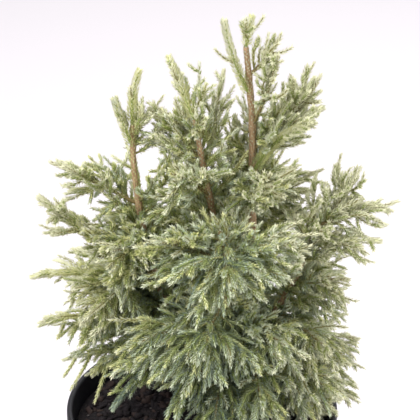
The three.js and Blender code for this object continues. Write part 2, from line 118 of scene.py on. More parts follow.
# The same columns as far as the bow, then the spread of the twigs and the share that is bare bough
MASSES = [
    ("leader_top", "trunk", 1, 22, 40, 342, 0, 22, 0),
    ("leader_left", "trunk", 0.88, 7, 17, 343, -0.08, 22, 0),
    ("leader_right", "trunk", 0.93, 8, 59, 330, 0.12, 44, 0),
    ("leader_feather", "trunk", 0.8, -8, 57, 320, 0.04, 40, 0),
    ("crest_right", "trunk", 0.74, 0, 88, 301, 0.12, 56, 0),
    ("crest_right_low", "trunk", 0.71, -8, 90, 281, -0.08, 28, 0),
    ("crest_right_fold", "trunk", 0.68, -26, 90, 281, -0.14, 13, 0),
    ("crest_left", "centre_leader", 0.86, 50, 26, 297, 0.1, 38, 0),
    ("centre_top", "centre_leader", 1, 161, 25, 313, 0, 28, 0),
    ("centre_left", "centre_leader", 0.78, 172, 39, 277, -0.16, 58, 0),
    ("centre_rear", "trunk", 0.55, 49, 40, 256, -0.06, 52, 0),
    ("centre_front", "centre_leader", 0.66, -112, 56, 246, -0.04, 60, 0),
    ("trunk_front", "trunk", 0.62, -46, 74, 236, -0.04, 64, 0),
    ("left_top", "left_leader", 1, 180, 46, 305, 0.1, 20, 0),
    ("left_top_out", "left_leader", 0.93, -176, 65, 284, 0.0, 16, 0),
    ("left_fan", "left_leader", 0.74, 180, 114, 231, -0.02, 44, 0),
    ("left_fan_mid", "left_leader", 0.44, -174, 123, 208, 0.03, 34, 0.4),
    ("left_point", "left_leader", 0.37, -177, 132, 136, -0.26, 30, 0),
    ("left_low", "left_leader", 0.26, -169, 128, 105, -0.2, 46, 0.3),
    ("left_skirt", "left_leader", 0.14, -175, 110, 62, -0.18, 52, 0),
    ("left_hang", "left_leader", 0.2, -138, 92, 50, -0.24, 26, 0),
    ("left_hollow", "left_leader", 0.5, -149, 106, 122, -0.14, 56, 0),
    ("left_front", "left_leader", 0.56, -134, 92, 190, -0.08, 70, 0),
    ("front_low_left", "front_leader", 0.2, -100, 112, 80, -0.2, 42, 0),
    ("front_low", "front_leader", 0.11, -86, 124, 70, -0.2, 66, 0),
    ("front_low_right", "right_leader", 0.17, -67, 118, 76, -0.18, 60, 0),
    ("front_mid_left", "front_leader", 0.42, -114, 108, 132, -0.14, 70, 0),
    ("front_mid", "front_leader", 0.6, -91, 122, 128, -0.2, 70, 0),
    ("front_mid_right", "front_leader", 0.35, -60, 122, 134, -0.14, 70, 0),
    ("front_fan", "front_leader", 1, -80, 122, 184, -0.12, 66, 0),
    ("front_fan_left", "front_leader", 0.84, -108, 100, 212, -0.08, 62, 0),
    ("front_fan_right", "front_leader", 0.84, -52, 112, 208, -0.08, 66, 0),
    ("right_skirt", "trunk", 0.1, -6, 126, 25, -0.28, 60, 0),
    ("right_front_low", "right_leader", 0.25, -34, 126, 62, -0.16, 60, 0),
    ("right_front_mid", "right_leader", 0.44, -36, 120, 106, -0.12, 58, 0),
    ("right_low", "right_leader", 0.3, -8, 124, 86, -0.1, 50, 0.35),
    ("right_mid", "right_leader", 0.6, -12, 115, 143, -0.14, 62, 0),
    ("right_drop", "right_leader", 0.86, -9, 137, 175, -0.12, 32, 0),
    ("right_big", "right_leader", 1, 0, 150, 198, 0.04, 38, 0),
    ("right_upper", "right_leader", 0.9, 9, 124, 217, 0.04, 54, 0),
    ("rear_top", "rear_leader", 1, 96, 84, 205, 0.02, 66, 0),
    ("rear_right_high", "rear_leader", 0.8, 31, 111, 198, -0.06, 74, 0),
    ("rear_left_high", "rear_leader", 0.75, 140, 92, 168, -0.06, 70, 0),
    ("rear_left", "left_leader", 0.3, 154, 116, 130, -0.12, 66, 0),
    ("rear_mid", "rear_leader", 0.5, 92, 122, 124, -0.16, 73, 0),
    ("rear_right", "right_leader", 0.5, 34, 124, 116, -0.12, 70, 0),
    ("rear_low_left", "trunk", 0.12, 122, 118, 58, -0.18, 66, 0),
    ("rear_low_right", "rear_leader", 0.14, 62, 118, 60, -0.18, 72, 0),
    ("rear_right_low", "right_leader", 0.21, 28, 120, 52, -0.18, 62, 0),
]

# Finer growth than the solids have
PLUME = 36  # a mass of less spread is one slim plume
PLUME_PALENESS = 0.26
STEM_PALENESS = 0.5
LEADER_PALENESS = 0.3
FINE_SPACING = 3.2  # between the twigs that grow among a mass's main ones
FINE_WIDER = ((215, 290, 325), (1, 1.7, 1.2))  # the masses' heights, and how much wider it is there
FINE_SALT = 6151
FINE_SHARE = 0.68  # of a main twig's length
FULL_SPREAD = 62  # of a mass with the full number of fine twigs. Slimmer ones have fewer.
FINE_LEAST = 10
FINE_OPENING = OPENING - 6
FINE_STRAY = 13  # degrees
FINE_MIX = 22  # how far fine growth may cross into a neighbour's space
FINE_OVERHANG = 1  # how far fine growth may go past its mass's tip
SHOOT_SPACING = 5.2
SHOOTS_ON = {"stem": (0.3, 0.46 * 0.7), "twig": (0.1, 0.46)}  # from which share, and the most of its length
LAST_SHOOT = 0.97
SHOOT_PLACE = 0.9  # of the room between two shoots, how far one stands from its place
SPRAY_LIFT = 14  # degrees that the shoots of a flat spray stand up from its plane
SPRAY_SPREAD = 22
SPRAY_ROLL = 30  # degrees that one spray is turned about its twig, unlike the next
SHOOT_FALL = 0.62  # the share of its length that it loses towards its parent's tip
SHOOT_LONG = (0.5, 1.5)
SHOOT_LEAST = 7
SHOOT_OPENING = 48
SHOOT_CLOSING = 18
SHOOT_STRAY = 12
WANDER = 0.16  # of its length, how far a shoot's or fine twig's tip strays sideways
DROOP = ((90, 280), (0.34, 0.04))  # heights, and how far growth hangs there, as a share of its length

# The short twigs that grow on the limbs themselves
LIMB_BUDS = 1.4
LIMB_SEED = 91
LIMB_TWIGS = (0.14, 0.98)  # the stretch of a limb that bears them
LIMB_BARE_FROM = {"trunk": 0.8}  # where that stretch ends lower
LIMB_TWIG = (24, 62)  # least and most length at a limb's foot
LIMB_TWIG_BY_HEIGHT = ((120, 310), (1, 0.34))  # how much of it is left higher up
LIMB_TWIG_PALENESS = 0.45
LIMB_DROOP = 0.6
LIMB_MIX = 60  # how far they may cross into a neighbour's space
INNER_FROM = {"left_leader": 0.7}  # the share past which they are longer, and grow only inwards
INNER_LONGER = 1.35

# The number that rolls each mass's fine growth, in the order of the masses
MASS_DICE = [
    16, 2, 0, 19, 4, 12, 7, 23, 6, 19, 6, 4, 4, 22, 3, 8, 23,
    10, 15, 7, 19, 22, 15, 3, 1, 0, 13, 4, 0, 14, 1, 2, 16, 17,
    12, 6, 23, 20, 14, 12, 16, 22, 20, 5, 0, 4, 7, 1, 16,
]

# Where the crown is open: before a stretch of a limb, and along lines through it. A radius comes last.
OPEN_AT_LIMBS = [
    ("trunk", 0.5, 0.84, 4.6),
    ("centre_leader", 0.55, 0.9, 2.8),
    ("left_leader", 0.66, 0.86, 2.6),
]
OPEN_THROUGH = [
    ((-42, -40, 247), (-42, 50, 205), 9),
    ((-53, -30, 252), (-50, 40, 219), 5),
    ((-74, -60, 61), (-74, 60, 2), 13),
    ((-48, -60, 56), (-48, 60, -3), 9),
]
OPEN_STEPS = 12
TO_FRONT = np.array((0, -0.895, 0.446))  # towards the camera

# Bars along growth: radius at the foot and at the tip, sides and steps
STEM_BAR = (STEM_RADIUS, 0.7, 7, 14)
TWIG_BAR = (TWIG_ROOT * 0.8, 0.45, 4, 6)
SHOOT_BAR = (1.3, 1.0, 3, 2)

# Needles
NEEDLE_LENGTH = 3.4
NEEDLE_LONG = (0.82, 1.15)
NEEDLE_WIDTH = 1.15
NEEDLE_DEPTH = 0.3
NEEDLE_WAIST = 0.52  # the share of its length where a needle is widest
NEEDLE_HOOK = 0.12  # how far its tip bends forward
NEEDLE_ROLL = 14  # degrees
NEEDLE_STRAY = 8
NEEDLE_OPENING = (50, 32)  # degrees from the shoot, at its foot and near its tip
TUFT = 0.9  # the share past which a shoot's needles close round its tip
TUFT_CLOSING = (0.2, 0.9)
MOST_TRIANGLES = 190000  # in one joined piece

# Needles on each kind of line: how many a millimetre, from which share, and how far out at both ends
NEEDLES_ON = {
    "leader": (2.6, 0.5, (4.2, 1.6)),
    "plume": (9, 0.02, (2.8, 1.6)),
    "stem": (4.5, 0.15, (1.3, 0.8)),
    "twig": (2.6, 0.14, (0.5, 0.5)),
    "shoot": (3.5, 0.04, (0.5, 0.5)),
}

rng = np.random.default_rng(41)


# Colours as they look, from 0 to 255, to the linear ones that shaders take
def tone(red, green, blue):
    def linear(value):
        value /= 255
        return value / 12.92 if value <= 0.04045 else ((value + 0.055) / 1.055) ** 2.4

    return (linear(red), linear(green), linear(blue), 1)


# Foliage colours, from the shaded inside to the pale tips: the level of paleness, whether they are for that
# level's greyer needles, and the colour
# The levels also serve as lit and shaded copies of one green: needle_tones paints light and shade into them.
NEEDLE_TONES = {
    "shaded_olive": (0, False, (122, 134, 104)),
    "shaded_grey": (0, True, (117, 133, 120)),
    "old_green": (1, False, (163, 172, 125)),
    "old_grey": (1, True, (156, 170, 146)),
    "mid_green": (2, False, (191, 199, 146)),
    "mid_grey": (2, True, (184, 195, 168)),
    "grey_green": (3, True, (195, 202, 172)),
    "yellow_green": (3, False, (207, 208, 147)),
    "light_green": (4, False, (215, 216, 163)),
    "pale_grey": (4, True, (208, 212, 186)),
    "tip_cream": (5, None, (220, 220, 188)),
}
LEVELS = (0.16, 0.36, 0.54, 0.72, 0.92)  # of paleness, between one tone and the next
PALE_NOISE = 0.09
PALE_BY_SHOOT = 0.1
PALE_BY_TWIG = 0.2
PALE_BY_MASS = 0.05
PALE_ALONG = 0.32  # how much paler a line's tip is than its foot
# painted light and shade: tones paler high in the crown and darker low down, as light falls there
PAINTED_LIGHT_BY_HEIGHT = ((40, 120, 230, 300), (-0.3, -0.06, 0.36, 0.66))
# painted light: tones paler at the crown's left and right sides, where light wraps round and through them
PAINTED_LIGHT_ACROSS = ((-120, -50, 30, 110), (0.5, -0.04, -0.04, 0.5))  # from the crown's left to its right
# painted shade: tones darker towards the crown's front
PAINTED_SHADE_IN_FRONT = ((50, 110), (0, 0.22))
# ends paler low down; high in the crown they are painted darker, as shade on backlit tips
PALE_ENDS = ((130, 270), (0.1, -0.2))  # heights, and how much paler the ends of lines are there
ENDS_FROM = 0.66
GREY_NOISE = 0.05
GREY_BY_LINE = 0.16
GREY_ALONG = 0.45
GREEN_UP_TO = 0.6
GREY_ACROSS = 700  # millimetres to the right for a whole step towards the greyer tones


# Directions and lines
UP = np.array([0.0, 0.0, 1.0])
SIDEWAYS = np.array([0.0, 1.0, 0.0])
LOW_BITS = 0xFFFFFFFF  # of a whole number, the 32 that are kept
DICE_STEP = 0x6D2B79F5


def dice(seed):
    """Seeded numbers from 0 to 1, the same on every run."""
    state = seed & LOW_BITS

    def roll():
        nonlocal state
        state = (state + DICE_STEP) & LOW_BITS
        mixed = ((state ^ (state >> 15)) * (state | 1)) & LOW_BITS
        mixed = ((mixed + (((mixed ^ (mixed >> 7)) * (mixed | 61)) & LOW_BITS)) & LOW_BITS) ^ mixed
        return (mixed ^ (mixed >> 14)) / (LOW_BITS + 1)

    return roll


def unit(ways):
    return ways / np.linalg.norm(ways, axis=-1, keepdims=True)


def column(numbers):
    return np.asarray(numbers, float)[..., None]


def facing_of(along):
    """Two directions square to each line, the second as near upright as it can be."""
    across = np.cross(along, UP)
    steep = np.linalg.norm(across, axis=-1, keepdims=True) < 0.2
    across = unit(np.where(steep, np.cross(along, SIDEWAYS), across))
    return across, unit(np.cross(across, along))


def turned_from(along, degrees):
    """The direction square to each line that is turned so far from the one facing up."""
    across, facing = facing_of(along)
    angle = column(np.radians(degrees))
    return facing * np.cos(angle) + across * np.sin(angle)


def leaning(along, around, degrees):
    angle = column(np.radians(degrees))
    return along * np.cos(angle) + around * np.sin(angle)


def point_at(bearing, reach, height):
    angle = math.radians(bearing)
    return np.array([reach * math.cos(angle), reach * math.sin(angle), GROUND + height])


class Growth:
    """Many bowed lines at once. Each has a start, a middle that pulls it, a tip and the mass it is in."""

    def __init__(self, start, middle, tip, owner, paleness):
        self.start, self.middle, self.tip = start, middle, tip
        self.owner = np.asarray(owner)
        self.paleness = np.asarray(paleness, float)

    def __len__(self):
        return len(self.start)

    def lines(self, rows):
        return self.start[rows], self.middle[rows], self.tip[rows]

    def point(self, rows, share):
        return point_on(self.lines(rows), column(share))

    def tangent(self, rows, share):
        return tangent_on(self.lines(rows), column(share))

    def lengths(self, steps=24):
        return length_of((self.start, self.middle, self.tip), steps)

    def rows(self, kept):
        return Growth(*self.lines(kept), self.owner[kept], self.paleness[kept])


def together(*growths):
    rows = [(growth.start, growth.middle, growth.tip, growth.owner, growth.paleness) for growth in growths]
    return Growth(*map(np.concatenate, zip(*rows)))


def growth_on(lines, owner, paleness):
    """Bowed lines that already exist, as growth."""
    return Growth(*map(np.array, zip(*lines)), owner, paleness)


def bowed_line(start, tip, bow):
    """A line from a point to a tip, bowed in the upright plane that holds both, as three points."""
    chord = tip - start
    side = np.cross(UP, unit(tip * (1, 1, 0)))
    swing = unit(np.cross(side, chord))
    return start, (start + tip) / 2 + swing * bow * np.linalg.norm(chord), tip


def point_on(line, share):
    return (1 - share) ** 2 * line[0] + 2 * share * (1 - share) * line[1] + share**2 * line[2]


def tangent_on(line, share):
    return unit((1 - share) * (line[1] - line[0]) + share * (line[2] - line[1]))


def stretch(line, start, end):
    """The stretch of a bowed line between two shares of it."""
    first, last = point_on(line, start), point_on(line, end)
    lead = tangent_on(line, start) * np.linalg.norm(last - first) / 2
    return first, first + lead, last


def length_of(line, steps=200):
    """The length of a line, or of each of many."""
    points = np.array([point_on(line, k / steps) for k in range(steps + 1)])
    return np.linalg.norm(np.diff(points, axis=0), axis=-1).sum(0)


class Limb:
    """A stem or a bare bough: its line and its radius along it."""

    def __init__(self, name, line, foot, tip, flare=0):
        self.name, self.line, self.foot, self.tip, self.flare = name, line, foot, tip, flare
        self.length = length_of(line)
        self.joints = []  # the shares of it where others leave it

    def radius(self, share):
        taper = self.foot + (self.tip - self.foot) * share
        return taper * (1 + self.flare * math.exp(-share / FLARE_HEIGHT))

    def leave_point(self, share):
        self.joints.append(share)
        return point_on(self.line, share) + (tangent_on(self.line, 1) * GAP if share == 1 else 0)


def grow_limbs():
    """The leading stems and bare boughs, and the lines of the masses' own stems, as the solids have them."""
    limbs, mass_lines = {}, []
    for name, parent_name, at, bearing, reach, height, bow, foot, tip in LEADERS:
        parent = limbs.get(parent_name)
        start = parent.leave_point(at) if parent else point_at(*TRUNK_FOOT)
        line = bowed_line(start, point_at(bearing, reach, height), bow)
        limbs[name] = Limb(name, line, foot, tip, 0 if parent else FLARE)
    for name, parent_name, at, bearing, reach, height, bow, _, bare in MASSES:
        parent = limbs[parent_name]
        line = bowed_line(parent.leave_point(at), point_at(bearing, reach, height), bow)
        if bare:
            foot = min(BOUGH_FOOT, parent.radius(at) * BOUGH_SHARE)
            limbs[name + "_bough"] = Limb(name + "_bough", stretch(line, 0, bare), foot, BOUGH_TIP)
            line = stretch(line, bare, 1)
            line = (line[0] + tangent_on(line, 0) * GAP, line[1], line[2])
        mass_lines.append(line)
    return limbs, mass_lines


limbs, MASS_LINES = grow_limbs()
LIMB_LINES = [limb.line for limb in limbs.values()]
NAMES, _, _, _, REACHES, TIP_HEIGHTS, _, SPREADS, _ = map(np.array, zip(*MASSES))
SLIM = SPREADS < PLUME
TOPS = np.array([max(point_on(line, k / 10)[2] for k in range(11)) for line in MASS_LINES]) - GROUND
MASS_RNGS = [np.random.default_rng([n, number]) for n, number in enumerate(MASS_DICE)]


def by_mass(owner, draw):
    """Random numbers for many growths, each drawn from the dice of its own mass."""
    counts = np.bincount(owner, minlength=len(MASSES))
    drawn = np.concatenate([draw(own, count) for own, count in zip(MASS_RNGS, counts)])
    dealt = np.empty_like(drawn)
    dealt[np.argsort(owner, kind="stable")] = drawn
    return dealt


# Room to grow
def bars_along(lines, count):
    """The starts and spans of the straight bars that follow each line."""
    points = np.array([[point_on(line, k / count) for k in range(count + 1)] for line in lines])
    return points[:, :-1].reshape(-1, 3), np.diff(points, axis=1).reshape(-1, 3)


POINTS_AT_ONCE = 3000
LIMB_STEPS = 20
LIMB_BARS = bars_along(LIMB_LINES, LIMB_STEPS)
LIMB_CLEAR = np.repeat([limb.radius(0.5) + LIMB_GAP for limb in limbs.values()], LIMB_STEPS)
MASS_BARS = bars_along(MASS_LINES, 10)


def repeated(counts):
    """Each row's number as often as its count says, and how many came before it in that row."""
    rows = np.repeat(np.arange(len(counts)), counts)
    return rows, np.arange(len(rows)) - np.repeat(np.cumsum(counts) - counts, counts)


def distances(bars, points):
    """How far each point is from each bar."""
    starts, spans = bars
    away = points[:, None] - starts
    share = np.clip((away * spans).sum(-1) / (spans**2).sum(-1), 0, 1)
    return np.linalg.norm(away - share[..., None] * spans, axis=-1)


def is_free(owner, points, margin, cell_gap, overhang):
    """Whether each point clears the pot, the mix, every limb, and the borders of its mass's own space."""
    free = np.empty(len(points), bool)
    for part in np.array_split(np.arange(len(points)), len(points) // POINTS_AT_ONCE + 1):
        at, own = points[part], owner[part]
        out, height = np.hypot(at[:, 0], at[:, 1]), at[:, 2]
        ok = (out < REACHES[own] + overhang) & (height < GROUND + TOPS[own] + overhang)
        ok &= height > POT_HEIGHT - HANG
        floor = np.where(out < RIM_RADIUS - RIM_WIDTH - POT_CLEAR, GROUND, POT_HEIGHT) + 2 * margin
        ok &= (out > RIM_RADIUS + POT_CLEAR) | (height > floor)
        ok &= (distances(LIMB_BARS, at) > LIMB_CLEAR + margin).all(1)
        to_masses = distances(MASS_BARS, at).reshape(len(at), len(MASSES), -1).min(2)
        to_own = to_masses[np.arange(len(at)), own]
        to_masses[np.arange(len(at)), own] = np.inf
        free[part] = ok & (to_masses.min(1) > to_own + cell_gap + margin)
    return free


class Buds:
    """Where new growth starts: its root, its parent's way there, the way it turns out, and its length."""

    def __init__(self, root, along, around, long, owner, paleness, stray=0, wander=0):
        self.root, self.along, self.around = root, along, around
        self.long, self.owner, self.paleness = long, owner, paleness
        self.stray = by_mass(owner, lambda own, count: own.normal(0, 1, count)) * stray
        self.wander = by_mass(owner, lambda own, count: own.normal(0, 1, (count, 3))) * wander

    def lines(self, rows, share, opening, closing, droop):
        long = column(self.long[rows] * share)
        along, around = self.along[rows], self.around[rows]
        opening = opening + self.stray[rows]
        first = leaning(along, around, opening)
        root = self.root[rows]
        fall = np.interp(root[:, 2] - GROUND, *DROOP) * droop
        last = leaning(along, around, opening - closing) - UP * column(fall) + self.wander[rows]
        lines = (root - first * SINK, root + first * long / 2, root + last * long)
        return Growth(*lines, self.owner[rows], self.paleness[rows])


def open_spaces():
    """The bars along which the crown is open, and how far round each."""
    bars = [(start + UP * GROUND, end + UP * GROUND, radius) for start, end, radius in OPEN_THROUGH]
    for name, low, high, radius in OPEN_AT_LIMBS:
        shares = [low + (high - low) * step / OPEN_STEPS for step in range(OPEN_STEPS + 1)]
        points = [point_on(limbs[name].line, share) + TO_FRONT * radius for share in shares]
        bars += [(start, end, radius) for start, end in zip(points, points[1:])]
    starts, ends, radii = map(np.array, zip(*bars))
    return (starts, ends - starts), radii


OPEN_BARS, OPEN_RADII = open_spaces()


def outside_open(growth):
    """Growth without the lines that pass through the open spaces."""
    rows = np.arange(len(growth))
    clear = np.ones(len(growth), bool)
    for share in (0.15, 0.4, 0.7, 1):
        clear &= (distances(OPEN_BARS, growth.point(rows, share)) > OPEN_RADII).all(1)
    return growth.rows(clear)


def grown(buds, shrink, least, room, opening, closing, droop=0.0, tests=(0.4, 0.6, 0.8, 1)):
    """Each bud's line, shortened until it fits its mass's space. A bud that never fits stays a bud."""
    waiting = np.arange(len(buds.long))
    done = []
    for share in shrink:
        tried = waiting[buds.long[waiting] * share >= least]
        if not len(tried):
            break
        lines = buds.lines(tried, share, opening, closing, droop)
        rows = np.arange(len(lines))
        points = np.stack([lines.point(rows, test) for test in tests], 1).reshape(-1, 3)
        free = is_free(np.repeat(lines.owner, len(tests)), points, TWIG_TIP, *room)
        fits = free.reshape(-1, len(tests)).all(1)
        done.append(lines.rows(fits))
        waiting = np.setdiff1d(waiting, tried[fits])
    return together(*done)


def twig_buds(spacings, length_share, salt, *strays):
    """The twigs of every mass, by the seeded rule. Those that stray are rolled by their mass's own number."""
    rows = []
    span = LAST_TWIG - FIRST_TWIG
    for index, line in enumerate(MASS_LINES):
        roll = dice((index + 1) * salt + (MASS_DICE[index] if strays else 0))
        count = max(2, math.floor(length_of(line) * span / spacings[index] + 0.5))
        for i in range(count):
            share = FIRST_TWIG + span * ((i + TWIG_STRAY * roll()) / count)
            turn = i * TURN + ROUND_SPREAD * roll()
            long = SPREADS[index] * (LONGEST - LONG_FALL * share) * (1 + LONG_SPREAD * (roll() - 0.5))
            pale = share + PALE_BY_TWIG * (roll() - 0.5)
            root, way = point_on(line, share), tangent_on(line, share)
            rows.append((root, way, turn, long * length_share, index, pale))
    root, along, turn, long, owner, pale = map(np.array, zip(*rows))
    return Buds(root, along, turned_from(along, turn), long, owner, pale, *strays)


def limb_buds():
    """Short twigs on the limbs themselves, over the bare foot of each, in the space of the nearest mass."""
    rows = []
    first, last = LIMB_TWIGS
    least, most = LIMB_TWIG
    for number, limb in enumerate(limbs.values()):
        roll = dice(number + LIMB_SEED)
        count = round(limb.length * (last - first) / LIMB_BUDS)
        for i in range(count):
            share = first + (LIMB_BARE_FROM.get(limb.name, last) - first) * (i + roll()) / count
            root, way = point_on(limb.line, share), tangent_on(limb.line, share)
            turn = i * TURN + ROUND_SPREAD * roll()
            long = (least + (most - least) * roll()) * np.interp(root[2] - GROUND, *LIMB_TWIG_BY_HEIGHT)
            if share > INNER_FROM.get(limb.name, 1):
                inwards = turned_from(way, turn)[:2] @ root[:2] < 0
                long *= INNER_LONGER if inwards else 0
            rows.append((root, way, turn, long))
    root, along, turn, long = map(np.array, zip(*rows))
    near = distances(MASS_BARS, root).reshape(len(root), len(MASSES), -1).min(2).argmin(1)
    pale = np.full(len(root), LIMB_TWIG_PALENESS)
    return Buds(root, along, turned_from(along, turn), long, near, pale, FINE_STRAY, WANDER)


def shoot_buds(parents, kind):
    """Side shoots of every parent, most of them in a loose flat spray, shorter towards its tip."""
    first, most = SHOOTS_ON[kind]
    lengths = parents.lengths()
    counts = np.maximum(2, np.round(lengths * (1 - first) / SHOOT_SPACING)).astype(int)
    rows, order = repeated(counts)
    owner = parents.owner[rows]
    place = by_mass(owner, lambda own, count: own.uniform(0, SHOOT_PLACE, count))
    share = first + (LAST_SHOOT - first) * (order + place) / counts[rows]
    along = parents.tangent(rows, share)
    lift = by_mass(owner, lambda own, count: own.normal(SPRAY_LIFT, SPRAY_SPREAD, count))
    turn = np.where(order % 2 == 0, 90 - lift, lift - 90)
    rolled = by_mass(parents.owner, lambda own, count: own.normal(0, SPRAY_ROLL, count))
    turn = np.where(order % 5 == 4, lift, turn) + rolled[rows]
    around = turned_from(along, turn)
    long = lengths[rows] * most * (1 - SHOOT_FALL * share)
    long *= by_mass(owner, lambda own, count: own.uniform(*SHOOT_LONG, count))
    pale = 0.5 * parents.paleness[rows] + 0.5 * share + rng.normal(0, PALE_BY_SHOOT, len(rows))
    return Buds(parents.point(rows, share), along, around, long, owner, pale, SHOOT_STRAY, WANDER)


def grow_foliage():
    """The stems, twigs and shoots of every mass."""
    stems = growth_on(MASS_LINES, np.arange(len(MASSES)), np.where(SLIM, PLUME_PALENESS, STEM_PALENESS))
    main_buds = twig_buds([TWIG_SPACING] * len(MASSES), 1, TWIG_SALT)
    main = grown(main_buds, SHRINK, SHORTEST_TWIG, (CELL_GAP, OVERHANG), OPENING, CLOSING)
    fine_room = (-FINE_MIX, FINE_OVERHANG)
    spacings = FINE_SPACING * FULL_SPREAD / SPREADS * np.interp(TIP_HEIGHTS, *FINE_WIDER)
    fine_buds = twig_buds(spacings, FINE_SHARE, FINE_SALT, FINE_STRAY, WANDER)
    fine = grown(fine_buds, SHRINK, FINE_LEAST, fine_room, FINE_OPENING, CLOSING, 1)
    limb_shaping = (SHRINK, SHOOT_LEAST, (-LIMB_MIX, FINE_OVERHANG), OPENING, CLOSING, LIMB_DROOP)
    on_limbs = grown(limb_buds(), *limb_shaping, tests=(0.5, 0.75, 1))
    twigs = together(main, outside_open(fine), outside_open(on_limbs))
    shaping = (SHOOT_SHRINK, SHOOT_LEAST, fine_room, SHOOT_OPENING, SHOOT_CLOSING, 1, (0.6, 1))
    on_twigs = grown(shoot_buds(twigs, "twig"), *shaping)
    on_stems = grown(shoot_buds(stems, "stem"), *shaping)
    return stems, twigs, together(outside_open(on_twigs), on_stems)


# Meshes from arrays
def mesh_from(name, corners, faces):
    """One mesh from arrays of corners, in millimetres, and triangles."""
    mesh = bpy.data.meshes.new(name)
    mesh.vertices.add(len(corners))
    mesh.vertices.foreach_set("co", np.ascontiguousarray(corners * MM, np.float32).ravel())
    mesh.loops.add(faces.size)
    mesh.loops.foreach_set("vertex_index", faces.astype(np.int32).ravel())
    mesh.polygons.add(len(faces))
    mesh.polygons.foreach_set("loop_start", np.arange(0, faces.size, 3, dtype=np.int32))
    mesh.update(calc_edges=True)
    mesh.shade_smooth()
    return mesh


def added(name, data):
    """A new object in the scene."""
    thing = bpy.data.objects.new(name, data)
    bpy.context.scene.collection.objects.link(thing)
    return thing


def placed(name, mesh, material):
    """The mesh as an object that rides with the plant."""
    mesh.materials.append(material)
    piece = added(name, mesh)
    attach(piece, "root")
    return piece


def joined_pieces(name, corners, faces, material, stands_for):
    """Alike small bodies, rows of the same corners and faces, joined in pieces that stay small enough."""
    per_piece = MOST_TRIANGLES // len(faces)
    parts = math.ceil(len(corners) / per_piece)
    for number, rows in enumerate(np.array_split(np.arange(len(corners)), parts), 1):
        offsets = np.arange(len(rows))[:, None, None] * corners.shape[1]
        label = name if parts == 1 else f"{name}_{number}"
        mesh = mesh_from(label, corners[rows].reshape(-1, 3), (faces + offsets).reshape(-1, 3))
        piece = placed(label, mesh, material)
        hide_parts(*stands_for)


def bar_bodies(growth, foot, tip, sides, steps):
    """Tapering round bars along lines, closed at both ends: the corners of each, and the shared triangles."""
    rows = np.arange(len(growth))
    across, _ = facing_of(unit(growth.tip - growth.start))
    corners = []
    for step in range(steps + 1):
        share = step / steps
        along = growth.tangent(rows, share)
        first = unit(across - along * (across * along).sum(-1, keepdims=True))
        second = np.cross(along, first)
        radius = foot + (tip - foot) * share
        for angle in np.arange(sides) * 2 * math.pi / sides:
            out = first * math.cos(angle) + second * math.sin(angle)
            corners.append(growth.point(rows, share) + out * radius)
    corners += [growth.point(rows, 0), growth.point(rows, 1) + growth.tangent(rows, 1) * tip]
    faces = []
    ends = len(corners) - 2
    for side in range(sides):
        after = (side + 1) % sides
        for step in range(steps):
            a, b = step * sides + side, step * sides + after
            faces += [(a, b, b + sides), (a, b + sides, a + sides)]
        faces += [(ends, after, side), (ends + 1, steps * sides + side, steps * sides + after)]
    return np.stack(corners, 1), np.array(faces)


def needle_bodies(growth, per_mm, first, feet):
    """Needles all round each line: their corners, paleness, greyness, mass and share of the line."""
    counts = np.maximum(3, np.round(growth.lengths(6) * (1 - first) * per_mm)).astype(int)
    rows, order = repeated(counts)
    total = len(rows)
    share = first + (1 - first) * (order + 0.7) / counts[rows]
    along = growth.tangent(rows, share)
    around = turned_from(along, order * TURN + rng.uniform(-NEEDLE_ROLL, NEEDLE_ROLL, total))
    at_foot, at_tip = NEEDLE_OPENING
    closing = np.clip((share - TUFT) / (1 - TUFT), 0, 1)
    opening = (at_foot + (at_tip - at_foot) * share) * (1 - closing * rng.uniform(*TUFT_CLOSING, total))
    opening += rng.normal(0, NEEDLE_STRAY, total)
    way = leaning(along, around, opening)
    long = column(NEEDLE_LENGTH * rng.uniform(*NEEDLE_LONG, total))
    side = unit(np.cross(along, around))
    inner = np.cross(way, side)
    foot = growth.point(rows, share) + around * column(np.interp(share, (0, 1), feet))
    tip = foot + way * long + along * long * NEEDLE_HOOK
    waist = foot + way * long * NEEDLE_WAIST + inner * NEEDLE_DEPTH
    width = side * NEEDLE_WIDTH / 2
    corners = np.stack([foot, waist + width, tip, waist - width], 1)
    pale = growth.paleness[rows] + PALE_ALONG * (share - 0.5) + rng.normal(0, PALE_NOISE, total)
    grey = rng.normal(0, GREY_BY_LINE, len(growth))[rows] + rng.normal(0, GREY_NOISE, total)
    return corners, pale, grey, growth.owner[rows], share


NEEDLE_FACES = np.array([(0, 1, 2), (0, 2, 3)])


# Materials
def set_inputs(node, values):
    for label, value in values.items():
        node.inputs[label].default_value = value


def shaded(name, color, roughness, specular):
    """A plain material."""
    material = bpy.data.materials.new(name)
    material.use_nodes = True
    shader = material.node_tree.nodes["Principled BSDF"]
    linear = tone(*color)
    set_inputs(shader, {"Base Color": linear, "Roughness": roughness, "Specular IOR Level": specular})
    material.diffuse_color = linear
    return material


